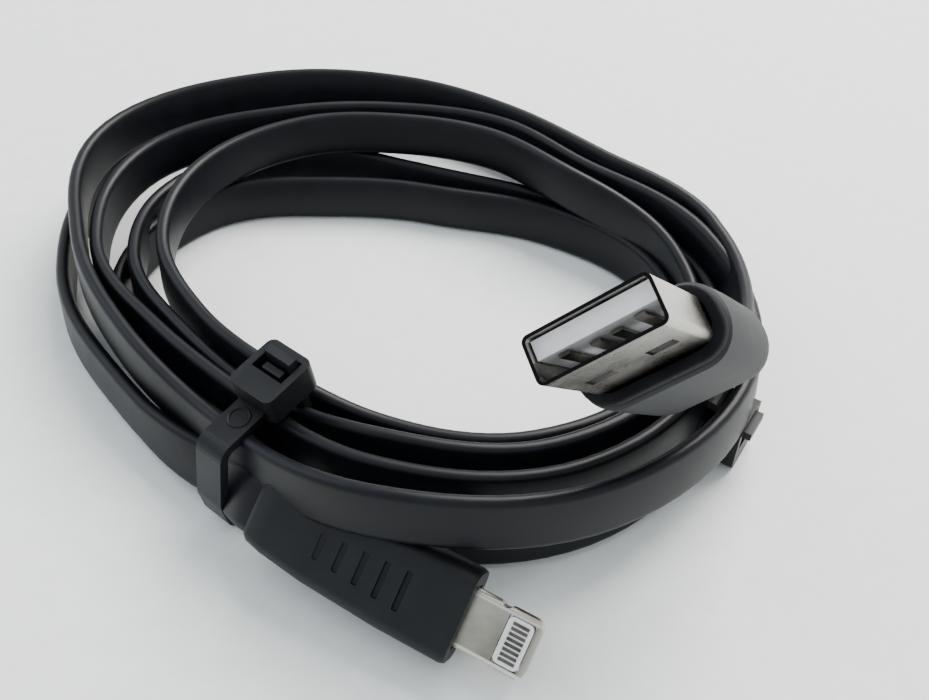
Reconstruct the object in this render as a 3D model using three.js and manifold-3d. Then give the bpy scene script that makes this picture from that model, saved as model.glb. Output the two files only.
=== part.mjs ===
// A flat charging cable, coiled and bundled with two nylon ties.
// Millimetres, +Z up. The coil lies flat on z = 0, with its near side towards -Y.
import * as THREE from 'three';
import { mergeVertices } from 'three/addons/utils/BufferGeometryUtils.js';
import Module from 'manifold-3d';

const wasm = await Module();
wasm.setup();
const { CrossSection, Manifold, Mesh } = wasm;

// ---------- driving dimensions ----------
const GAP = 0.15; // clearance between pieces that are pressed or moulded together
const SOFT_GAP = 0.3; // clearance between the cord and what it meets
const RIBBON = { width: 6.4, thick: 1.8 };
const COIL_HEIGHT = 12.4;
const ORIGIN = new THREE.Vector3(0, -7.94, 0); // moved to the middle of the whole part's base

// Radii of the coil's outer and inner outline, every 15 degrees from +X, anticlockwise
const COIL_OUTER = [44.2, 38.8, 34.8, 34.8, 35.4, 36.8, 40.6, 44.6, 48.4, 52.2, 52.8, 49.6,
  47.6, 43.2, 40.6, 38.2, 38.0, 41.0, 44.2, 47.0, 49.8, 52.0, 52.2, 48.8];
const COIL_INNER = [36.0, 31.5, 26.5, 22.0, 19.8, 19.4, 19.8, 22.4, 26.0, 29.8, 32.4, 31.6,
  30.4, 28.8, 27.2, 26.4, 26.6, 28.2, 30.8, 34.4, 37.4, 39.6, 40.6, 39.4];

const USB = {
  rim: [19.8, -49.6, 41.8], // middle of the mouth
  back: [0.494, 0.543, -0.679], // from the mouth towards the cord
  up: [-0.341, 0.839, 0.424],
  width: 12, height: 4.5, wall: 0.3, exposed: 12, buried: 6,
  window: { length: 2.0, width: 2.6, middle: 2.9, fromRim: 6.3 },
  contactAt: [-3.5, -1, 1, 3.5],
  mould: { width: 15.6, height: 8.2, length: 18, tailWidth: 10.4, tailHeight: 4.6 },
  collar: { width: 14.0, height: 6.6, length: 6.4, proud: 0.5 },
};
const TIP = {
  base: [10.0, -53.3, 4.9], // middle of the mould's front face
  turn: -28, dip: 5.5, roll: 42, // heading, nose-down angle and roll, in degrees
  length: 7.7, width: 6.7, thick: 1.5, buried: 6,
  block: { from: 4.0, to: 7.0, width: 5.2 },
  contact: { pitch: 0.55, width: 0.34, length: 1.8, thick: 0.06, count: 8, middle: 5.55 },
  mould: { length: 25.5, width: 10.2, height: 5.6, tailWidth: 7.8, tailHeight: 3.8 },
};
const STRAP = { width: 4.0, thick: 1.1 };
const HEAD = { along: 6.5, across: 7.2, height: 3.8, slot: 4.7 };
const PAWL = { thick: 0.9, width: 2.8, height: 2.0, gap: 0.45, swing: 0.55 };
const GAP_UNDER_PAWL = 0.2;
const TIE_SINK = 0.2; // how far a tie's head sits into its strap
const TAIL_PROUD = 0.9; // how far the cut tail stands out of the head
// Where each tie stands, how its X axis points and tips down, the bundle's outline inside it,
// where the strap's end passes up through the head, and where the head begins
const TIES = [
  { name: 'front_tie', at: [-14.2, -33.0], lift: 0.7, outward: 231, tilt: 8,
    inside: [[-7.6, 1.1], [5.6, 1.1], [5.6, 5.0], [3.2, 11.6], [-7.6, 11.6]],
    top: 11.6, tail: -8.7, tailFrom: 9.0, headFrom: -9.9 },
  { name: 'side_tie', at: [37.1, -24.1], lift: 4.45, outward: -33, tilt: 90,
    inside: [[-3.3, 1.1], [3.3, 1.1], [3.3, 4.2], [-3.3, 4.2]],
    top: 4.2, tail: -2.0, tailFrom: 4.4, headFrom: -3.1 },
];

// ---------- materials ----------
function finish(color, roughness, metalness) {
  return new THREE.MeshStandardMaterial({ color, roughness, metalness });
}
const LOOKS = {
  cord: finish('#1d2026', 0.5, 0),
  mould: finish('#2b2d31', 0.65, 0),
  collar: finish('#232529', 0.6, 0),
  steel: finish('#a7a39c', 0.35, 1),
  nickel: finish('#b4b3a4', 0.35, 1),
  white: finish('#e6e4ec', 0.5, 0),
  gold: finish('#b9a877', 0.3, 1),
  board: finish('#2f5a3c', 0.6, 0),
  chip: finish('#1a1b1d', 0.5, 0),
  wire: finish('#b5622f', 0.5, 0),
  nylon: finish('#17181a', 0.5, 0),
};

// ---------- solids ----------
function solidOf(geometry) {
  const plain = geometry.clone();
  plain.deleteAttribute('normal');
  plain.deleteAttribute('uv');
  const merged = mergeVertices(plain, 1e-4);
  return new Manifold(new Mesh({
    numProp: 3,
    vertProperties: new Float32Array(merged.attributes.position.array),
    triVerts: new Uint32Array(merged.index.array),
  }));
}

function geometryOf(solid) {
  const mesh = solid.getMesh();
  const geometry = new THREE.BufferGeometry();
  geometry.setAttribute('position', new THREE.BufferAttribute(new Float32Array(mesh.vertProperties), 3));
  geometry.setIndex(new THREE.BufferAttribute(new Uint32Array(mesh.triVerts), 1));
  return geometry;
}

// A box from its low corner to its high corner
function block(low, high) {
  const size = high.map((value, i) => value - low[i]);
  const middle = high.map((value, i) => (value + low[i]) / 2);
  return solidOf(new THREE.BoxGeometry(...size).translate(...middle));
}

function roundedRect(width, height, radius) {
  const shape = new THREE.Shape();
  const x = width / 2;
  const y = height / 2;
  const r = Math.min(radius, x, y) - 1e-3;
  shape.moveTo(-x + r, -y);
  shape.lineTo(x - r, -y);
  shape.absarc(x - r, -y + r, r, -Math.PI / 2, 0, false);
  shape.lineTo(x, y - r);
  shape.absarc(x - r, y - r, r, 0, Math.PI / 2, false);
  shape.lineTo(-x + r, y);
  shape.absarc(-x + r, y - r, r, Math.PI / 2, Math.PI, false);
  shape.lineTo(-x, -y + r);
  shape.absarc(-x + r, -y + r, r, Math.PI, 1.5 * Math.PI, false);
  return shape;
}

// A rounded bar along X, its section's width along Y and height along Z
function bar(fromX, toX, width, height, radius, segments = 3) {
  const geometry = new THREE.ExtrudeGeometry(roundedRect(width, height, radius),
    { depth: toX - fromX, bevelEnabled: false, curveSegments: segments });
  const turn = new THREE.Matrix4().makeBasis(
    new THREE.Vector3(0, 1, 0), new THREE.Vector3(0, 0, 1), new THREE.Vector3(1, 0, 0));
  return solidOf(geometry.applyMatrix4(turn).translate(fromX, 0, 0));
}

// The skin through a list of equal rings, closed with a fan at each end
function skin(rings) {
  const count = rings[0].length;
  const vertices = [];
  const faces = [];
  for (const ring of rings) {
    for (const point of ring) vertices.push(point.x, point.y, point.z);
  }
  for (let i = 0; i + 1 < rings.length; i += 1) {
    for (let j = 0; j < count; j += 1) {
      const a = i * count + j;
      const b = i * count + (j + 1) % count;
      faces.push(a, b, b + count, a, b + count, a + count);
    }
  }
  const last = (rings.length - 1) * count;
  for (let j = 1; j + 1 < count; j += 1) {
    faces.push(0, j + 1, j);
    faces.push(last, last + j, last + j + 1);
  }
  const geometry = new THREE.BufferGeometry();
  geometry.setAttribute('position', new THREE.Float32BufferAttribute(vertices, 3));
  geometry.setIndex(faces);
  return solidOf(geometry);
}

// A moulded body along X that eases from one rounded section to another
function mould(stations) {
  const rings = stations.map(({ x, width, height }) => roundedRect(width, height, Math.min(height / 2, 2.4))
    .extractPoints(4).shape.slice(0, -1).map((p) => new THREE.Vector3(x, p.x, p.y)));
  return skin(rings);
}

// The ribbon cord along a route; edges gives the direction of its width at each end
function ribbon(route, edges, grow = 0) {
  const curve = new THREE.CatmullRomCurve3(route.map((p) => new THREE.Vector3(...p)), false, 'centripetal');
  const steps = route.length * 3;
  const half = { w: RIBBON.width / 2 + grow, t: RIBBON.thick / 2 + grow };
  const outline = [[1, 0.5], [0.86, 1], [-0.86, 1], [-1, 0.5], [-1, -0.5], [-0.86, -1], [0.86, -1], [1, -0.5]];
  const start = new THREE.Vector3(...edges[0]);
  const end = new THREE.Vector3(...edges[1]);
  const rings = [];
  for (let i = 0; i <= steps; i += 1) {
    const s = i / steps;
    const along = curve.getTangent(s).normalize();
    const wide = start.clone().lerp(end, s);
    wide.addScaledVector(along, -wide.dot(along)).normalize();
    const across = along.clone().cross(wide);
    const middle = curve.getPoint(s).addScaledVector(along, i === 0 ? -grow : i === steps ? grow : 0);
    rings.push(outline.map(([a, b]) => middle.clone()
      .addScaledVector(wide, a * half.w).addScaledVector(across, b * half.t)));
  }
  return skin(rings);
}

// ---------- frames of the two plugs and of each tie ----------
function frameOf(origin, x, z) {
  const axisX = new THREE.Vector3(...x).normalize();
  const axisZ = new THREE.Vector3(...z);
  axisZ.addScaledVector(axisX, -axisZ.dot(axisX)).normalize();
  const axisY = axisZ.clone().cross(axisX);
  return new THREE.Matrix4().makeBasis(axisX, axisY, axisZ).setPosition(...origin);
}

const radians = THREE.MathUtils.degToRad;
const usbFrame = frameOf(USB.rim, USB.back.map((v) => -v), USB.up);
const tipForward = new THREE.Vector3(1, 0, 0)
  .applyEuler(new THREE.Euler(0, radians(TIP.dip), radians(TIP.turn), 'ZYX'));
const tipUp = new THREE.Vector3(0, 0, 1)
  .applyAxisAngle(new THREE.Vector3(1, 0, 0), radians(TIP.roll))
  .applyEuler(new THREE.Euler(0, radians(TIP.dip), radians(TIP.turn), 'ZYX'));
const tipFrame = frameOf(TIP.base, tipForward.toArray(), tipUp.toArray());

function tieFrame(tie) {
  const out = [Math.cos(radians(tie.outward)), Math.sin(radians(tie.outward))];
  const level = Math.cos(radians(tie.tilt));
  const dip = Math.sin(radians(tie.tilt));
  const along = [out[0] * level, out[1] * level, -dip];
  const up = [out[0] * dip, out[1] * dip, level];
  return frameOf([...tie.at, tie.lift], along, up);
}

// ---------- the assembly ----------
const cable = new THREE.Group();
cable.name = 'charging_cable';

function add(name, solid, look, frame = new THREE.Matrix4()) {
  const mesh = new THREE.Mesh(geometryOf(solid), LOOKS[look]);
  mesh.name = name;
  frame.decompose(mesh.position, mesh.quaternion, mesh.scale);
  mesh.position.sub(ORIGIN);
  cable.add(mesh);
}

function placed(solid, frame) {
  return solidOf(geometryOf(solid).applyMatrix4(frame));
}

// USB plug: X runs out of the mouth, Y across it, Z towards the tongue's side
function buildUsbPlug() {
  const { width, height, wall, window, mould: over, collar } = USB;
  const rear = -(USB.exposed + USB.buried);
  let shell = bar(rear, 0, width, height, 0.7).subtract(bar(rear - 1, 1, width - 2 * wall, height - 2 * wall, 0.4));
  for (const side of [-1, 1]) {
    const y = side * window.middle;
    shell = shell.subtract(block([-window.fromRim - window.length / 2, y - window.width / 2, -height],
      [-window.fromRim + window.length / 2, y + window.width / 2, height]));
  }
  add('usb_shell', shell, 'steel', usbFrame);

  const inside = height / 2 - wall - GAP;
  const half = width / 2 - wall - GAP;
  const tongue = block([rear + 0.4, -half, 0.05], [-0.9, half, inside])
    .add(block([rear + 0.4, -half, -inside], [-10.5, half, 0.06]));
  const slots = USB.contactAt.map((y) => block([rear, y - 0.6, -0.62], [-10, y + 0.6, 0.02]));
  add('usb_tongue', slots.reduce((body, slot) => body.subtract(slot), tongue), 'white', usbFrame);
  USB.contactAt.forEach((y, i) => {
    const front = Math.abs(y) > 2 ? -1.6 : -2.6;
    add(`usb_contact_${i + 1}`, block([rear - 0.8, y - 0.5, -0.36], [front, y + 0.5, -0.06]), 'gold', usbFrame);
  });

  const front = -USB.exposed;
  const hole = bar(rear - 1, 1, width + 2 * GAP, height + 2 * GAP, 0.8);
  add('usb_inner_mould', bar(front - collar.length, front, collar.width, collar.height, 3.2).subtract(hole),
    'collar', usbFrame);

  const stations = [
    { x: front - over.length, width: over.tailWidth, height: over.tailHeight },
    { x: front - over.length + 3, width: over.width - 2.2, height: over.height - 1.8 },
    { x: front - over.length + 8, width: over.width - 0.4, height: over.height - 0.4 },
    { x: front - collar.proud, width: over.width, height: over.height },
  ];
  const chamber = bar(front - collar.length - 6, front, width - 1, height - 0.3, 0.7);
  const seat = bar(front - collar.length - GAP, front + 1, collar.width + 2 * GAP, collar.height + 2 * GAP, 3.3);
  add('usb_overmould', mould(stations).subtract(seat).subtract(chamber), 'mould', usbFrame);
  USB.contactAt.forEach((y, i) => {
    add(`usb_wire_${i + 1}`, bar(rear - 5.6, rear - 0.95, 0.8, 0.8, 0.4, 2).translate([0, y, -0.2]), 'wire', usbFrame);
  });
}

// Tab plug: X runs out of the tip, Y across the tab, Z out of its upper face
function buildTipPlug() {
  const { width, thick, block: pad, contact, mould: over } = TIP;
  const outline = new THREE.ExtrudeGeometry(roundedRect(TIP.length + TIP.buried, width, 1.3),
    { depth: thick, bevelEnabled: false, curveSegments: 4 });
  const plan = solidOf(outline.translate((TIP.length - TIP.buried) / 2, 0, -thick / 2));
  let frame = plan.intersect(bar(-TIP.buried - 1, TIP.length + 1, width, thick, thick / 2, 4));
  frame = frame.subtract(block([pad.from, -pad.width / 2, -1], [pad.to, pad.width / 2, 1]));
  for (const side of [-1, 1]) {
    const notch = new THREE.CylinderGeometry(0.75, 0.75, 2, 12).rotateX(Math.PI / 2);
    frame = frame.subtract(solidOf(notch.translate(3.4, side * (width / 2 + 0.3), 0)));
  }
  frame = frame.subtract(block([-TIP.buried - 1, -2.4, -0.45], [-1.2, 2.4, 0.45]));
  add('tip_frame', frame, 'nickel', tipFrame);

  const inset = 0.1;
  for (const [side, name] of [[1, 'top'], [-1, 'bottom']]) {
    const geometry = new THREE.ExtrudeGeometry(
      roundedRect(pad.to - pad.from - 2 * inset, pad.width - 2 * inset, 0.6),
      { depth: 0.5, bevelEnabled: false, curveSegments: 3 });
    const z = side > 0 ? 0.22 : -0.72;
    add(`tip_pad_${name}`, solidOf(geometry.translate((pad.from + pad.to) / 2, 0, z)), 'white', tipFrame);
    for (let i = 0; i < contact.count; i += 1) {
      const y = (i - (contact.count - 1) / 2) * contact.pitch;
      const low = side > 0 ? 0.74 : -0.74 - contact.thick;
      add(`tip_contact_${name}_${i + 1}`, block(
        [contact.middle - contact.length / 2, y - contact.width / 2, low],
        [contact.middle + contact.length / 2, y + contact.width / 2, low + contact.thick]), 'gold', tipFrame);
    }
  }
  add('tip_board', block([-14, -2.2, -0.3], [-1.4, 2.2, 0.3]), 'board', tipFrame);
  add('tip_chip', block([-11.5, -1.3, 0.45], [-8.3, 1.3, 1.15]), 'chip', tipFrame);

  const stations = [
    { x: -over.length, width: over.tailWidth, height: over.tailHeight },
    { x: -over.length + 6, width: over.width - 1.2, height: over.height - 0.9 },
    { x: -8, width: over.width, height: over.height },
    { x: 0, width: over.width, height: over.height },
  ];
  const chamber = bar(-TIP.buried - 0.3, 1, width + 2 * GAP, thick + 2 * GAP, 0.9)
    .add(block([-18.6, -2.5, -0.6], [-TIP.buried, 2.5, 1.35]));
  add('tip_overmould', mould(stations).subtract(chamber), 'mould', tipFrame);
  [-1.2, 1.2].forEach((y, i) => {
    add(`tip_wire_${i + 1}`, bar(-18.3, -14.2, 0.8, 0.8, 0.4, 2).translate([0, y, 0]), 'wire', tipFrame);
  });
}

// One tie in its own frame: X outwards across the bundle, Y along the cord, Z up
function tieLoop(tie, grow) {
  const inside = new CrossSection([tie.inside]).offset(-1, 'Miter').offset(1, 'Round', 2, 16);
  const outside = inside.offset(STRAP.thick + grow, 'Round', 2, 16);
  const depth = STRAP.width + 2 * grow;
  const room = inside.offset(-grow, 'Round', 2, 16).extrude(depth + 2, 0, 0, [1, 1], true);
  return outside.extrude(depth, 0, 0, [1, 1], true).subtract(room).rotate([90, 0, 0]);
}

function tieHead(tie) {
  const low = tie.top - TIE_SINK;
  return { low, high: low + HEAD.height, from: tie.headFrom, to: tie.headFrom + HEAD.across };
}

function buildTie(tie) {
  const frame = tieFrame(tie);
  const { low, high, from, to } = tieHead(tie);
  const half = STRAP.width / 2;
  const tailTo = tie.tail + STRAP.thick;
  const windowTo = tailTo + PAWL.gap + PAWL.thick + PAWL.swing;
  const window = block([tie.tail - SOFT_GAP, -HEAD.slot / 2, low - 1], [windowTo, HEAD.slot / 2, high + 1]);
  const head = bar(low, high, HEAD.along, HEAD.across, 1).rotate([0, -90, 0]).rotate([0, 0, 180]);
  const box = head.boundingBox();
  const centred = head.translate([
    (from + to) / 2 - (box.min[0] + box.max[0]) / 2, -(box.min[1] + box.max[1]) / 2, low - box.min[2]]);
  const tail = block([tie.tail, -half, tie.tailFrom], [tailTo, half, high + TAIL_PROUD]);
  add(tie.name, tieLoop(tie, 0).add(centred.subtract(window)).add(tail), 'nylon', frame);

  const root = tie.top + STRAP.thick + GAP_UNDER_PAWL;
  add(`${tie.name}_pawl`, block([tailTo + PAWL.gap, -PAWL.width / 2, root],
    [tailTo + PAWL.gap + PAWL.thick, PAWL.width / 2, root + PAWL.height]), 'nylon', frame);
}

// The two free ends of the cord leave straight out of each plug and bend on to the coil
function leave(frame, distances) {
  return distances.map((x) => new THREE.Vector3(-x - SOFT_GAP, 0, 0).applyMatrix4(frame).toArray());
}
const usbEdge = new THREE.Vector3(0, 1, 0).transformDirection(usbFrame).toArray();
const tipEdge = new THREE.Vector3(0, 1, 0).transformDirection(tipFrame).toArray();
const usbEnd = USB.exposed + USB.mould.length;
const USB_ROUTE = [...leave(usbFrame, [usbEnd, usbEnd + 2.5]),
  [40.2, -26.4, 14.4], [43.6, -21.2, 11.8], [46.2, -15.0, 10.0], [47.2, -8.6, 9.2]];
const TIP_ROUTE = [...leave(tipFrame, [TIP.mould.length, TIP.mould.length + 2]), [-15.3, -39.7, 7.2]];

function buildCord() {
  const outer = closedOutline(COIL_OUTER);
  const hole = new THREE.Path(closedOutline(COIL_INNER));
  const shape = new THREE.Shape(outer);
  shape.holes.push(hole);
  let coil = solidOf(new THREE.ExtrudeGeometry(shape, { depth: COIL_HEIGHT, bevelEnabled: false }));
  for (const tie of TIES) {
    const { low, high, from, to } = tieHead(tie);
    const room = HEAD.along / 2 + SOFT_GAP;
    const head = block([from - SOFT_GAP, -room, low - SOFT_GAP], [to + SOFT_GAP, room, high + 2]);
    coil = coil.subtract(placed(tieLoop(tie, SOFT_GAP), tieFrame(tie)));
    coil = coil.subtract(placed(head, tieFrame(tie)));
  }
  const grown = { width: TIP.mould.width + 2 * SOFT_GAP, height: TIP.mould.height + 2 * SOFT_GAP };
  const tipRoom = bar(-TIP.mould.length - SOFT_GAP, SOFT_GAP, grown.width, grown.height, 2.6);
  coil = coil.subtract(placed(tipRoom, tipFrame));
  coil = coil.subtract(ribbon(USB_ROUTE, [usbEdge, [0, 0, 1]], SOFT_GAP));
  coil = coil.subtract(ribbon(TIP_ROUTE, [tipEdge, [0, 0, 1]], SOFT_GAP));
  add('cord_coil', largest(coil), 'cord');
  add('usb_lead', ribbon(USB_ROUTE, [usbEdge, [0, 0, 1]]), 'cord');
  add('tip_lead', ribbon(TIP_ROUTE, [tipEdge, [0, 0, 1]]), 'cord');
}

function closedOutline(radii) {
  const corners = radii.map((r, i) => {
    const angle = (i / radii.length) * 2 * Math.PI;
    return new THREE.Vector3(r * Math.cos(angle), r * Math.sin(angle), 0);
  });
  const curve = new THREE.CatmullRomCurve3(corners, true);
  return curve.getPoints(radii.length * 3).slice(0, -1).map((p) => new THREE.Vector2(p.x, p.y));
}

// Keeps the main body of a cut solid and drops the slivers
function largest(solid) {
  return solid.decompose().sort((a, b) => b.volume() - a.volume())[0];
}

buildUsbPlug();
buildTipPlug();
TIES.forEach(buildTie);
buildCord();

export default cable;
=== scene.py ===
"""Charging cable: the visible cord, mouldings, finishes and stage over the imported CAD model."""

import math

import bmesh
import bpy
from bpy.props import FloatProperty, IntProperty, PointerProperty
from mathutils import Matrix, Vector


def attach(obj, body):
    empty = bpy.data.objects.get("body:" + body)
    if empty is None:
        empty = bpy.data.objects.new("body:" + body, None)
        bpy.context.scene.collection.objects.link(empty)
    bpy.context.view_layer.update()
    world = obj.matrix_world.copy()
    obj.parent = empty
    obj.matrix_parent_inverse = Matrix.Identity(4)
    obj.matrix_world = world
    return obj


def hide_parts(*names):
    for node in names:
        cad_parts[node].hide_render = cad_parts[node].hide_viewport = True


bl_info = {
    "name": "Charging cable",
    "version": (1, 0, 0),
    "blender": (4, 5, 0),
    "location": "View3D > Sidebar > Cable",
    "description": "Builds the visible pieces of a coiled flat charging cable",
    "category": "Object",
}

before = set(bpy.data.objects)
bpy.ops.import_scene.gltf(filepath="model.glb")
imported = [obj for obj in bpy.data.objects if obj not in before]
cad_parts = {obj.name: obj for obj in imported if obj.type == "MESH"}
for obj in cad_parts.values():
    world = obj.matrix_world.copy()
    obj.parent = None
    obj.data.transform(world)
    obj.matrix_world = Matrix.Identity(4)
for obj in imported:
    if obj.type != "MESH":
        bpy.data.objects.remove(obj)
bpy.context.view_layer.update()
MM = 0.001
BODY = "cable"

# ---------- places shared with the CAD model, in millimetres ----------
ORIGIN = Vector((0, -7.94, 0))
COIL_MIDDLE = -ORIGIN
USB_RIM = Vector((19.8, -49.6, 41.8)) - ORIGIN
USB_BACK = Vector((0.494, 0.543, -0.679))
USB_UP = Vector((-0.341, 0.839, 0.424))
TAB_BASE = Vector((10.0, -53.3, 4.9)) - ORIGIN
TAB_TURN, TAB_DIP, TAB_ROLL = (math.radians(a) for a in (-28, 5.5, 42))
FRONT_TIE = {"at": (-14.2, -33.0), "lift": 0.7, "outward": 231, "tilt": 8, "top": 12.7}

# Where the cord leaves each mould, behind that plug's own origin
TAB_TAIL, USB_TAIL = 25.6, 30.1
# The stretches between the coil and the plugs: how many rings, and how firmly the curve pulls at its ends
TAB_RINGS, TAB_PULL = 8, 9
USB_RINGS, USB_PULL = 22, 0.9
TURN_IN = 6  # rings of the coil over which the ribbon comes upright after the tab plug
CAMERA_AT = (9.8, -106)

# Each turn of the coil, from the tab plug to the other end: the ribbon's distance from the coil's middle and
# its height, every STEP degrees clockwise from START. The next turn goes on where the last one stops.
START, STEP = 240, 30
TURNS = [
    ((39.0, 39.6, 46.2, 52.4, 48.6, 41.6, 36.8, 37.0, 45.0, 47.4, 46.8, 41.2),
     (4.4, 3.4, 3.2, 3.2, 3.2, 3.2, 3.2, 3.2, 3.2, 3.6, 3.2, 3.4)),
    ((34.8, 35.0, 38.0, 33.8, 23.6, 19.6, 19.8, 26.2, 36.2, 40.4, 36.6, 29.8),
     (5.0, 4.0, 3.2, 3.2, 3.2, 3.2, 3.2, 3.2, 3.4, 4.0, 4.6, 5.2)),
    ((27.2, 27.6, 31.0, 32.8, 31.2, 28.0, 27.6, 28.4, 38.0, 42.6, 40.2, 34.2),
     (8.0, 8.4, 9.2, 9.6, 9.6, 9.6, 9.6, 9.6, 7.2, 6.6, 7.0, 8.0)),
    ((29.8, 30.4, 35.6, 38.8, 33.8, 25.2, 24.0, 29.8, 40.2, 45.8, 45.6, 39.4),
     (6.0, 6.8, 6.2, 4.2, 3.2, 3.2, 3.2, 3.2, 5.4, 8.2, 9.0, 9.4)),
    ((32.4, 33.2, 40.2, 43.9, 36.5, 32.9, 31.8, 32.4, 41.9, 50.2, 51.0, 46.2),
     (8.2, 8.4, 8.4, 8.4, 8.8, 8.6, 9.2, 9.0, 9.8, 10.4, 12.0, 13.4)),
    ((37.0, 36.8, 42.4, 50.9, 45.6, 38.7, 34.0, 34.7, 43.6),
     (8.2, 9.2, 10.0, 10.2, 10.2, 10.0, 10.2, 10.2, 10.4)),
]


# ---------- settings ----------
class CordSettings(bpy.types.PropertyGroup):
    width: FloatProperty(name="Width", description="Width of the ribbon", default=6.4 * MM, unit="LENGTH")
    thick: FloatProperty(name="Thickness", description="Thickness of the ribbon", default=1.8 * MM,
                         unit="LENGTH")
    edge: FloatProperty(name="Edge", description="Radius of the ribbon's edges", default=0.86 * MM,
                        unit="LENGTH")
    step: FloatProperty(name="Step", description="Angle between the coil's rings", default=3.0, min=1.0)
    lean: FloatProperty(name="Lean", description="How far the standing ribbon leans back",
                        default=math.radians(15), subtype="ANGLE")


class PlugSettings(bpy.types.PropertyGroup):
    usb_length: FloatProperty(name="Mould", description="Length of the large mould", default=18 * MM,
                              unit="LENGTH")
    tab_length: FloatProperty(name="Tab mould", description="Length of the tab plug's mould",
                              default=25.5 * MM, unit="LENGTH")
    grips: IntProperty(name="Grips", description="Number of grip bars in the tab plug's mould", default=5,
                       min=1)


class StageSettings(bpy.types.PropertyGroup):
    lens: FloatProperty(name="Lens", description="Focal length in millimetres", default=38.75)
    height: FloatProperty(name="Height", description="Height of the camera", default=96 * MM, unit="LENGTH")
    tilt: FloatProperty(name="Tilt", description="Tilt of the camera below level",
                        default=math.radians(45), subtype="ANGLE")


# ---------- small helpers ----------
def colour(code):
    """A hex sRGB colour as linear RGBA."""
    parts = [int(code[i:i + 2], 16) / 255 for i in (1, 3, 5)]
    return [c / 12.92 if c <= 0.04045 else ((c + 0.055) / 1.055) ** 2.4 for c in parts] + [1.0]


def frame_of(origin, x, z):
    """The matrix whose X and Z run along those directions, from an origin in millimetres."""
    x = x.normalized()
    z = (z - x * z.dot(x)).normalized()
    turn = Matrix((x, z.cross(x), z)).transposed()
    return Matrix.Translation(origin * MM) @ turn.to_4x4()


def plug_frames():
    usb = frame_of(USB_RIM, -USB_BACK, USB_UP)
    heading = Matrix.Rotation(TAB_TURN, 3, "Z") @ Matrix.Rotation(TAB_DIP, 3, "Y")
    up = heading @ Matrix.Rotation(TAB_ROLL, 3, "X") @ Vector((0, 0, 1))
    return usb, frame_of(TAB_BASE, heading @ Vector((1, 0, 0)), up)


def tie_frame(tie):
    out, tilt = math.radians(tie["outward"]), math.radians(tie["tilt"])
    place = Vector((*tie["at"], tie["lift"])) - ORIGIN
    level = Vector((math.cos(out), math.sin(out), 0))
    up = Vector((0, 0, 1))
    across = level * math.cos(tilt) - up * math.sin(tilt)
    return frame_of(place, across, level * math.sin(tilt) + up * math.cos(tilt))


def clear_selection():
    if bpy.context.object and bpy.context.object.mode != "OBJECT":
        bpy.ops.object.mode_set(mode="OBJECT")
    bpy.ops.object.select_all(action="DESELECT")


def choose(obj):
    clear_selection()
    obj.select_set(True)
    bpy.context.view_layer.objects.active = obj


def apply_modifiers(obj):
    choose(obj)
    for modifier in list(obj.modifiers):
        bpy.ops.object.modifier_apply(modifier=modifier.name)


def smooth(obj, angle=35):
    choose(obj)
    bpy.ops.object.shade_smooth_by_angle(angle=math.radians(angle))


def add_node(tree, kind, links=(), **values):
    """One node, its inputs or settings, and its links as (from socket, to input)."""
    node = tree.nodes.new(kind)
    for name, value in values.items():
        if hasattr(node, name):
            setattr(node, name, value)
        else:
            node.inputs[name.replace("_", " ")].default_value = value
    for source, target in links:
        tree.links.new(source, node.inputs[target])
    return node


# ---------- materials ----------
MIX_A, MIX_B, MIX_OUT = 6, 7, 2  # the Mix node's colour sockets; its names find the number ones
MOTTLE = 3.125 * MM  # size of the soft patches in every finish
GRAIN_DEPTH = 0.05 * MM
# Painted shade: the dark line on the shell's cut rim, where its end face reflects dark
PAINTED_RIM_SHADE = "#1c1a1b"
RIM_SHADE_DEPTH = 0.12 * MM


def painted_edge_highlight(tree, tone, edge_highlight):
    """The tone, turning to the painted highlight colour along sharp edges."""
    shape = add_node(tree, "ShaderNodeNewGeometry")
    edge = add_node(tree, "ShaderNodeMapRange", [(shape.outputs["Pointiness"], "Value")])
    edge.inputs["From Min"].default_value = 0.52
    edge.inputs["From Max"].default_value = 0.62
    mix = add_node(tree, "ShaderNodeMix", [(edge.outputs["Result"], "Factor")], data_type="RGBA")
    tree.links.new(tone, mix.inputs[MIX_A])
    mix.inputs[MIX_B].default_value = colour(edge_highlight)
    return mix.outputs[MIX_OUT]


def painted_rim_shade(tree, coords, tone, direction, start):
    """The tone, with painted shade past a distance along a direction."""
    along = add_node(tree, "ShaderNodeVectorMath", [(coords, 0)], operation="DOT_PRODUCT")
    along.inputs[1].default_value = direction
    cut = add_node(tree, "ShaderNodeMath", [(along.outputs["Value"], 0)], operation="GREATER_THAN")
    cut.inputs[1].default_value = start
    mix = add_node(tree, "ShaderNodeMix", [(cut.outputs["Value"], "Factor")], data_type="RGBA")
    tree.links.new(tone, mix.inputs[MIX_A])
    mix.inputs[MIX_B].default_value = colour(PAINTED_RIM_SHADE)
    return mix.outputs[MIX_OUT]


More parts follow.
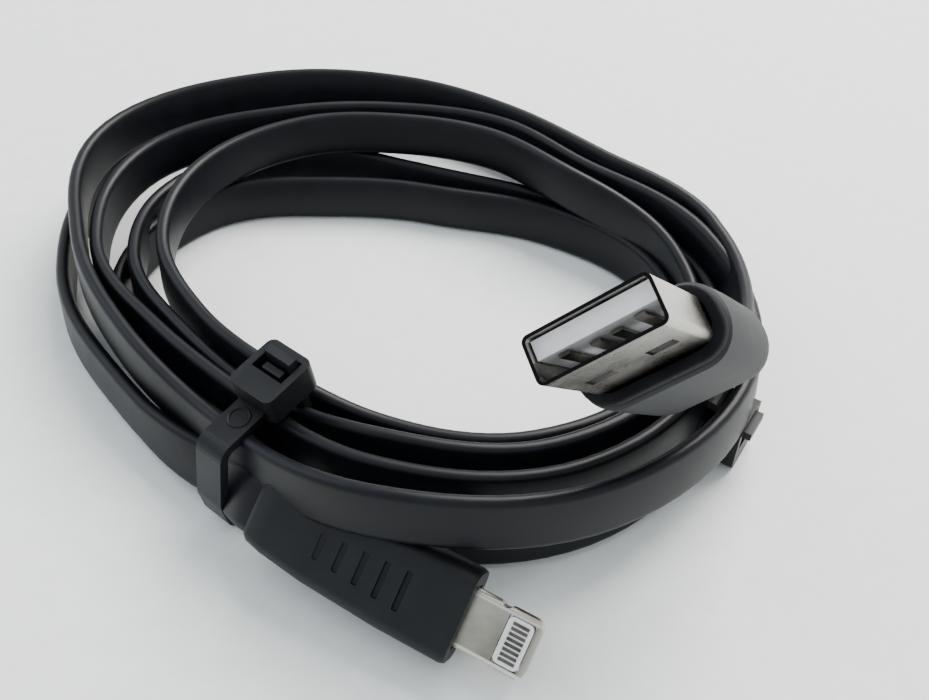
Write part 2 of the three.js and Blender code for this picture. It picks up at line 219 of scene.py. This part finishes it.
def finish(name, base, dark, light, rough, metal=0.0, grain=0.3, bump=0.1, edge_highlight=None, gloss=0.3, rim_shade=None):
    """Base colour mottled between dark and light, with a fine grain of that size in millimetres."""
    mat = bpy.data.materials.new(name)
    mat.use_nodes = True
    tree = mat.node_tree
    tree.nodes.clear()
    coords = add_node(tree, "ShaderNodeTexCoord").outputs["Object"]
    cloud = add_node(tree, "ShaderNodeTexNoise", [(coords, "Vector")], Scale=1 / MOTTLE, Detail=4.0,
                     Roughness=0.6)
    tones = add_node(tree, "ShaderNodeValToRGB", [(cloud.outputs["Fac"], "Fac")])
    ramp = tones.color_ramp.elements
    ramp[0].position = 0.3
    ramp[1].position = 0.72
    ramp[0].color = colour(dark)
    ramp[1].color = colour(light)
    middle = ramp.new(0.5)
    middle.color = colour(base)
    tone = tones.outputs["Color"]
    # Painted highlight: sharp edges are lightened in the colour itself
    if edge_highlight:
        tone = painted_edge_highlight(tree, tone, edge_highlight)
    # Painted shade: a dark band along the shell's cut rim
    if rim_shade:
        tone = painted_rim_shade(tree, coords, tone, *rim_shade)
    fine = add_node(tree, "ShaderNodeTexNoise", [(coords, "Vector")], Scale=1 / (grain * MM), Detail=3.0,
                    Roughness=0.55)
    raised = add_node(tree, "ShaderNodeBump", [(fine.outputs["Fac"], "Height")], Strength=bump)
    raised.inputs["Distance"].default_value = GRAIN_DEPTH
    shine = add_node(tree, "ShaderNodeMapRange", [(cloud.outputs["Fac"], "Value")])
    shine.inputs["To Min"].default_value = rough - 0.07
    shine.inputs["To Max"].default_value = rough + 0.09
    surface = add_node(tree, "ShaderNodeBsdfPrincipled", [
        (tone, "Base Color"), (shine.outputs["Result"], "Roughness"), (raised.outputs["Normal"], "Normal")])
    surface.inputs["Metallic"].default_value = metal
    surface.inputs["Specular IOR Level"].default_value = 0.5 if metal else gloss
    add_node(tree, "ShaderNodeOutputMaterial", [(surface.outputs["BSDF"], "Surface")])
    return mat


def make_finishes():
    usb_out = -USB_BACK.normalized()
    # Where the painted shade on the shell's cut rim begins
    rim_shade = (usb_out, usb_out.dot(USB_RIM * MM) - RIM_SHADE_DEPTH)
    return {
        # Extruded thermoplastic elastomer: near black and blue in the shade, with long soft highlights
        "cord": finish("satin_elastomer", "#080a11", "#06080d", "#0c0f17", 0.4, grain=0.12, bump=0.12,
                       gloss=0.25),
        # Moulded from a spark-textured tool: a dull charcoal that goes grey where light grazes it
        "mould": finish("matte_moulded_plastic", "#222427", "#1d1f22", "#282a2d", 0.6, grain=0.09, bump=0.35),
        # The same plastic from a finer tool: blacker, so that the grip bars read by their shadows
        "tab_mould": finish("fine_moulded_plastic", "#101317", "#0d0f13", "#15181d", 0.5, grain=0.1,
                            bump=0.25),
        # The first, rougher shot round the shell: the darkest plastic, with a paler painted highlight along
        # its edges
        "collar": finish("inner_mould_plastic", "#090a0e", "#060709", "#15181d", 0.55, grain=0.5, bump=0.6,
                         edge_highlight="#34373b", gloss=0.12),
        # Tin-plated and folded sheet: blotched warm grey, a bright painted highlight on the folds, and
        # painted shade as a dark line on the cut rim
        "steel": finish("plated_sheet_steel", "#625e5a", "#423f3c", "#7f7a74", 0.27, 1.0, 0.22, 0.3,
                        edge_highlight="#c9c5bd", rim_shade=rim_shade),
        # Nickel over a cast frame: warmer and smoother than the sheet, with a bright painted highlight on its
        # corners
        "nickel": finish("satin_nickel", "#8f8c80", "#7b786d", "#a3a092", 0.3, 1.0, 0.3, 0.1, edge_highlight="#e4e1d8"),
        # Glossy moulded nylon: clean white that sets off the metal round it
        "white": finish("glossy_insulator", "#f4f4f8", "#ececf2", "#fbfbfd", 0.3, grain=0.4, bump=0.05),
        # Thinly plated contacts: a dull brass grey, dark against the white
        "gold": finish("plated_contact", "#605d56", "#47453f", "#7d7a71", 0.3, 1.0, 0.2, 0.1),
        # Glass-fibre board under lacquer: even green, seen only when the plug is opened
        "board": finish("lacquered_board", "#2f5a3c", "#284e34", "#386a47", 0.4, grain=0.3),
        # Epoxy package: flat black on the green
        "chip": finish("moulded_package", "#1a1b1d", "#161719", "#202124", 0.5, grain=0.1, bump=0.3),
        # Extruded insulation: a warm orange that picks the wires out inside the mould
        "wire": finish("wire_insulation", "#b5622f", "#a55526", "#c26f3b", 0.4, grain=0.3),
        # Injection-moulded nylon: black with tight highlights, and a greyer painted highlight on its corners
        "nylon": finish("black_nylon", "#08090b", "#060708", "#0c0d10", 0.42, grain=0.15, bump=0.15,
                        edge_highlight="#202226", gloss=0.2),
    }


def look_for(node):
    if "contact" in node:
        return "gold"
    if "wire" in node:
        return "wire"
    names = {"usb_shell": "steel", "usb_tongue": "white", "tip_frame": "nickel", "tip_pad_top": "white",
             "tip_pad_bottom": "white", "tip_board": "board", "tip_chip": "chip", "usb_inner_mould": "collar",
             "usb_overmould": "mould", "tip_overmould": "tab_mould"}
    return names.get(node, "nylon" if "tie" in node else "cord")


def dress(obj, mat):
    obj.data.materials.clear()
    obj.data.materials.append(mat)


def keep_edges(obj, width, segments=2, angle=30):
    """Rounds a carried-over node's sharp edges with live modifiers."""
    flat = obj.modifiers.new("flats", "DECIMATE")
    flat.decimate_type = "DISSOLVE"
    flat.angle_limit = math.radians(2)
    edge = obj.modifiers.new("edges", "BEVEL")
    edge.width = width
    edge.segments = segments
    edge.limit_method = "ANGLE"
    edge.angle_limit = math.radians(angle)
    edge.use_clamp_overlap = True
    edge.harden_normals = True
    if not obj.data.has_custom_normals:
        weighted = obj.modifiers.new("normals", "WEIGHTED_NORMAL")
        weighted.keep_sharp = True


# ---------- cord ----------
def spline(values, s):
    """Catmull-Rom through equally spaced values, at s counted in intervals."""
    i = min(max(int(s), 0), len(values) - 2)
    t = s - i
    a, b, c, d = (values[min(max(i + k, 0), len(values) - 1)] for k in (-1, 0, 1, 2))
    square = (2 * a - 5 * b + 4 * c - d) * t * t
    cube = (3 * b - a - 3 * c + d) * t ** 3
    return 0.5 * (2 * b + (c - a) * t + square + cube)


def bridge_curve(start, leave, end, arrive, count):
    """Points on a cubic that leaves start along leave and arrives at end along arrive."""
    points = []
    for i in range(count + 1):
        t = i / count
        h = (2 * t ** 3 - 3 * t ** 2 + 1, t ** 3 - 2 * t ** 2 + t, 3 * t ** 2 - 2 * t ** 3, t ** 3 - t ** 2)
        points.append(start * h[0] + leave * h[1] + end * h[2] + arrive * h[3])
    return points


def coil_points(step):
    radii = [r for turn in TURNS for r in turn[0]]
    heights = [z for turn in TURNS for z in turn[1]]
    sweep = STEP * (len(radii) - 1)
    count = round(sweep / step)
    points = []
    for i in range(count + 1):
        s = i / count * (len(radii) - 1)
        angle = math.radians(START - s * STEP)
        r = spline(radii, s)
        place = Vector((r * math.cos(angle), r * math.sin(angle), spline(heights, s)))
        points.append((COIL_MIDDLE + place) * MM)
    return points


def cord_route(cord, usb, tab):
    """Ring centres from the large plug's tail round the coil to the tab plug's, and each ring's width."""
    coil = coil_points(cord.step)
    start = tab @ Vector((-TAB_TAIL * MM, 0, 0))
    tab_out = tab.to_3x3() @ Vector((-1, 0, 0))
    first = (coil[1] - coil[0]).normalized()
    pull = TAB_PULL * MM
    tab_lead = bridge_curve(start, tab_out * pull, coil[0], first * pull, TAB_RINGS)[:-1]
    end = usb @ Vector((-USB_TAIL * MM, 0, 0))
    usb_out = usb.to_3x3() @ Vector((1, 0, 0))
    last = (coil[-1] - coil[-2]).normalized()
    reach = (end - coil[-1]).length
    usb_lead = bridge_curve(coil[-1], last * reach, end, usb_out * reach * USB_PULL, USB_RINGS)[1:]
    points = tab_lead + coil + usb_lead
    upright = Vector((0, math.sin(cord.lean), math.cos(cord.lean)))
    tab_wide = tab.to_3x3() @ Vector((0, 1, 0))
    usb_wide = usb.to_3x3() @ Vector((0, 1, 0))
    turned = len(tab_lead) + TURN_IN
    turning = len(points) - USB_RINGS
    wide = []
    for i in range(len(points)):
        if i < turned:
            wide.append(tab_wide.lerp(upright, i / turned))
        elif i >= turning:
            wide.append(upright.lerp(usb_wide, (i + 1 - turning) / USB_RINGS))
        else:
            wide.append(upright)
    return points[::-1], wide[::-1]


def ribbon_section(cord, steps=4):
    """The rounded section, as (along the width, across it)."""
    x = cord.width / 2 - cord.edge
    y = cord.thick / 2 - cord.edge
    corners = ((x, y, 0), (-x, y, 90), (-x, -y, 180), (x, -y, 270))
    return [(cx + cord.edge * math.cos(math.radians(a + 90 * k / steps)),
             cy + cord.edge * math.sin(math.radians(a + 90 * k / steps)))
            for cx, cy, a in corners for k in range(steps + 1)]


def build_cord(cord, looks):
    usb, tab = plug_frames()
    points, wide = cord_route(cord, usb, tab)
    section = ribbon_section(cord)
    mesh = bmesh.new()
    rings = []
    for i, point in enumerate(points):
        along = (points[min(i + 1, len(points) - 1)] - points[max(i - 1, 0)]).normalized()
        w = (wide[i] - along * wide[i].dot(along)).normalized()
        across = along.cross(w)
        rings.append([mesh.verts.new(point + w * a + across * b) for a, b in section])
    count = len(section)
    for near, far in zip(rings, rings[1:]):
        for j in range(count):
            mesh.faces.new((near[j], near[(j + 1) % count], far[(j + 1) % count], far[j]))
    mesh.faces.new(rings[0][::-1])
    mesh.faces.new(rings[-1])
    bmesh.ops.recalc_face_normals(mesh, faces=mesh.faces)
    data = bpy.data.meshes.new("flat_cord")
    mesh.to_mesh(data)
    mesh.free()
    obj = bpy.data.objects.new("flat_cord", data)
    bpy.context.scene.collection.objects.link(obj)
    dress(obj, looks["cord"])
    smooth(obj, 60)
    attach(obj, BODY)
    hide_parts("cord_coil", "usb_lead", "tip_lead")
    return obj, points


# ---------- mouldings ----------
def extruded(name, radius, stations, recess=None):
    """A round-cornered plane extruded along X through stations of (x, width, height), in millimetres."""
    clear_selection()
    x, width, height = stations[0]
    bpy.ops.mesh.primitive_plane_add(size=1, location=(0, 0, 0), rotation=(0, 0, 0))
    obj = bpy.context.object
    obj.name = name
    bpy.ops.object.mode_set(mode="EDIT")
    bpy.ops.mesh.select_all(action="SELECT")
    bpy.ops.transform.rotate(value=math.pi / 2, orient_axis="Y", orient_type="GLOBAL",
                             center_override=(0, 0, 0))
    bpy.ops.transform.resize(value=(1, width * MM, height * MM), center_override=(0, 0, 0))
    bpy.ops.transform.translate(value=(x * MM, 0, 0))
    bpy.ops.mesh.bevel(offset=radius * MM, segments=8, affect="VERTICES")
    for (x0, w0, h0), (x1, w1, h1) in zip(stations, stations[1:]):
        bpy.ops.mesh.extrude_region_move(TRANSFORM_OT_translate={"value": ((x1 - x0) * MM, 0, 0)})
        bpy.ops.transform.resize(value=(1, w1 / w0, h1 / h0), center_override=(x1 * MM, 0, 0))
    if recess:
        margin, depth = recess
        bpy.ops.mesh.inset(thickness=margin * MM, depth=0)
        bpy.ops.mesh.extrude_region_move(TRANSFORM_OT_translate={"value": (-depth * MM, 0, 0)})
    bpy.ops.mesh.select_all(action="SELECT")
    bpy.ops.mesh.normals_make_consistent(inside=False)
    bpy.ops.object.mode_set(mode="OBJECT")
    return obj


def seat(obj, place, mat, slot, *nodes):
    obj.data.transform(place)
    dress(obj, mat)
    smooth(obj)
    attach(obj, BODY)
    if nodes:
        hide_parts(*nodes)


def build_usb_mould(plug, looks):
    usb, _ = plug_frames()
    length = plug.usb_length / MM
    mould = extruded("usb_mould", 2.9, [
        (-12 - length, 12.2, 6.0), (-12 - length + 0.5, 13.8, 7.2), (-12 - length + 1.6, 14.8, 7.9),
        (-12 - length + 3.4, 15.3, 8.2), (-17, 15.6, 8.3), (-13.5, 15.4, 8.2), (-13.1, 14.8, 7.6)],
        recess=(0.3, 0.8))
    soften(mould, 0.25)
    seat(mould, usb, looks["mould"], "mould", "usb_overmould")

    collar = extruded("usb_collar", 3.2, [
        (-17.6, 14.8, 7.4), (-12.5, 14.8, 7.4), (-12.1, 14.5, 7.1), (-12.0, 14.0, 6.6)], recess=(0.75, 1.6))
    soften(collar, 0.12)
    seat(collar, usb, looks["collar"], "collar", "usb_inner_mould")


def soften(obj, width):
    """A small round on every edge that still turns sharply."""
    edge = obj.modifiers.new("soft", "BEVEL")
    edge.width = width * MM
    edge.segments = 3
    edge.limit_method = "ANGLE"
    edge.angle_limit = math.radians(40)
    apply_modifiers(obj)


def build_tab_mould(plug, looks):
    _, tab = plug_frames()
    length = plug.tab_length / MM
    mould = extruded("tab_mould", 1.0, [
        (-length, 6.6, 3.0), (-length + 0.6, 7.4, 3.8), (-length + 2.5, 8.2, 4.4), (-length + 8, 9.4, 5.1),
        (-8, 10.2, 5.6), (-0.5, 10.2, 5.6), (0, 9.9, 5.3)], recess=(1.5, 0.4))
    soften(mould, 0.2)
    for i in range(plug.grips):
        clear_selection()
        bpy.ops.mesh.primitive_cube_add(size=1, location=((-16.6 + i * 2.5) * MM, 0, 2.72 * MM),
                                        scale=(0.7 * MM, (3.0 + 0.35 * i) * MM, 0.7 * MM))
        cutter = bpy.context.object
        bpy.ops.object.transform_apply(location=True, scale=True)
        soften(cutter, 0.2)
        cut = mould.modifiers.new("grip", "BOOLEAN")
        cut.operation = "DIFFERENCE"
        cut.object = cutter
        apply_modifiers(mould)
        bpy.data.objects.remove(cutter)
    seat(mould, tab, looks["tab_mould"], "mould", "tip_overmould")


# ---------- ties ----------
def build_tie_details(looks):
    """The raised ring that the maker moulds on the front strap."""
    place = tie_frame(FRONT_TIE)
    clear_selection()
    bpy.ops.mesh.primitive_torus_add(major_radius=1.25 * MM, minor_radius=0.16 * MM, major_segments=40,
                                     minor_segments=8, location=(0, 0, 0))
    ring = bpy.context.object
    ring.name = "front_tie_ring"
    ring.data.transform(Matrix.Translation(Vector((-0.7, 0, FRONT_TIE["top"])) * MM))
    seat(ring, place, looks["nylon"], "nylon")


# ---------- stage ----------
def area_light(name, place, size, power, tint):
    """A rectangular light that points at the object."""
    data = bpy.data.lights.new(name, "AREA")
    data.shape = "RECTANGLE"
    data.size, data.size_y = size
    data.energy = power
    data.color = colour(tint)[:3]
    obj = bpy.data.objects.new(name, data)
    obj.location = place
    obj.rotation_euler = (-Vector(place)).to_track_quat("-Z", "Y").to_euler()
    bpy.context.scene.collection.objects.link(obj)


def build_stage():
    clear_selection()
    bpy.ops.mesh.primitive_plane_add(size=3, location=(0, 0, 0))
    floor = bpy.context.object
    floor.name = "floor"
    # Painted board: a cool near white with no shine, so that the black cord's outline stays sharp
    dress(floor, finish("pale_table", "#f3f7f6", "#f0f4f3", "#f7fbfa", 0.65, grain=0.5, bump=0.15))
    world = bpy.data.worlds.new("studio")
    bpy.context.scene.world = world
    world.use_nodes = True
    sky = world.node_tree.nodes["Background"]
    sky.inputs["Color"].default_value = colour("#e6ecf0")
    sky.inputs["Strength"].default_value = 1.08
    area_light("key", place=(0.35, 0.45, 0.6), size=(0.6, 0.5), power=14.5, tint="#fffaf4")
    area_light("fill", place=(-0.5, 0.2, 0.5), size=(0.5, 0.5), power=1.2, tint="#eaf2ff")


def build_camera(stage):
    data = bpy.data.cameras.new("camera")
    data.sensor_width = 36
    data.sensor_fit = "HORIZONTAL"
    data.lens = stage.lens
    data.clip_start = 0.001
    obj = bpy.data.objects.new("camera", data)
    x, y = CAMERA_AT
    obj.location = (x * MM, (y - ORIGIN.y) * MM, stage.height)
    obj.rotation_euler = (math.pi / 2 - stage.tilt, 0, 0)
    bpy.context.scene.collection.objects.link(obj)
    bpy.context.scene.camera = obj


# ---------- operators ----------
REPLACED = ("cord_coil", "usb_lead", "tip_lead", "usb_overmould", "usb_inner_mould", "tip_overmould")
looks = {}  # the finishes, filled by the first operator


class CABLE_OT_camera(bpy.types.Operator):
    """Places the camera and the finishes that every piece uses"""
    bl_idname = "cable.camera"
    bl_label = "Camera and finishes"

    def execute(self, context):
        build_camera(context.scene.cable_stage)
        looks.update(make_finishes())
        return {"FINISHED"}


class CABLE_OT_cord(bpy.types.Operator):
    """Winds the flat cord from plug to plug"""
    bl_idname = "cable.cord"
    bl_label = "Cord"

    def execute(self, context):
        obj, points = build_cord(context.scene.cable_cord, looks)
        return {"FINISHED"}


class CABLE_OT_plugs(bpy.types.Operator):
    """Moulds both plugs"""
    bl_idname = "cable.plugs"
    bl_label = "Plugs"

    def execute(self, context):
        build_usb_mould(context.scene.cable_plug, looks)
        build_tab_mould(context.scene.cable_plug, looks)
        return {"FINISHED"}


class CABLE_OT_finishes(bpy.types.Operator):
    """Gives each carried-over node its finish and its soft edges"""
    bl_idname = "cable.finishes"
    bl_label = "Finishes"

    def execute(self, context):
        for name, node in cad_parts.items():
            dress(node, looks[look_for(name)])
            if name in REPLACED:
                continue
            width = {"steel": 0.06, "nickel": 0.08, "nylon": 0.22}.get(look_for(name), 0.03)
            keep_edges(node, width * MM)
        build_tie_details(looks)
        return {"FINISHED"}


class CABLE_OT_stage(bpy.types.Operator):
    """Adds the table and the soft light"""
    bl_idname = "cable.stage"
    bl_label = "Stage"

    def execute(self, context):
        build_stage()
        return {"FINISHED"}


class CABLE_PT_panel(bpy.types.Panel):
    bl_label = "Charging cable"
    bl_idname = "CABLE_PT_panel"
    bl_space_type = "VIEW_3D"
    bl_region_type = "UI"
    bl_category = "Cable"

    def draw(self, context):
        for group in (context.scene.cable_cord, context.scene.cable_plug, context.scene.cable_stage):
            for name in group.__annotations__:
                self.layout.prop(group, name)
        for step in STEPS:
            self.layout.operator(step.bl_idname)


STEPS = (CABLE_OT_camera, CABLE_OT_cord, CABLE_OT_plugs, CABLE_OT_finishes, CABLE_OT_stage)
CLASSES = (CordSettings, PlugSettings, StageSettings, *STEPS, CABLE_PT_panel)


def register():
    for cls in CLASSES:
        bpy.utils.register_class(cls)
    bpy.types.Scene.cable_cord = PointerProperty(type=CordSettings)
    bpy.types.Scene.cable_plug = PointerProperty(type=PlugSettings)
    bpy.types.Scene.cable_stage = PointerProperty(type=StageSettings)


def unregister():
    for name in ("cable_cord", "cable_plug", "cable_stage"):
        delattr(bpy.types.Scene, name)
    for cls in reversed(CLASSES):
        bpy.utils.unregister_class(cls)


def main():
    register()
    for step in STEPS:
        group, name = step.bl_idname.split(".")
        getattr(getattr(bpy.ops, group), name)()


if __name__ == "__main__":
    main()
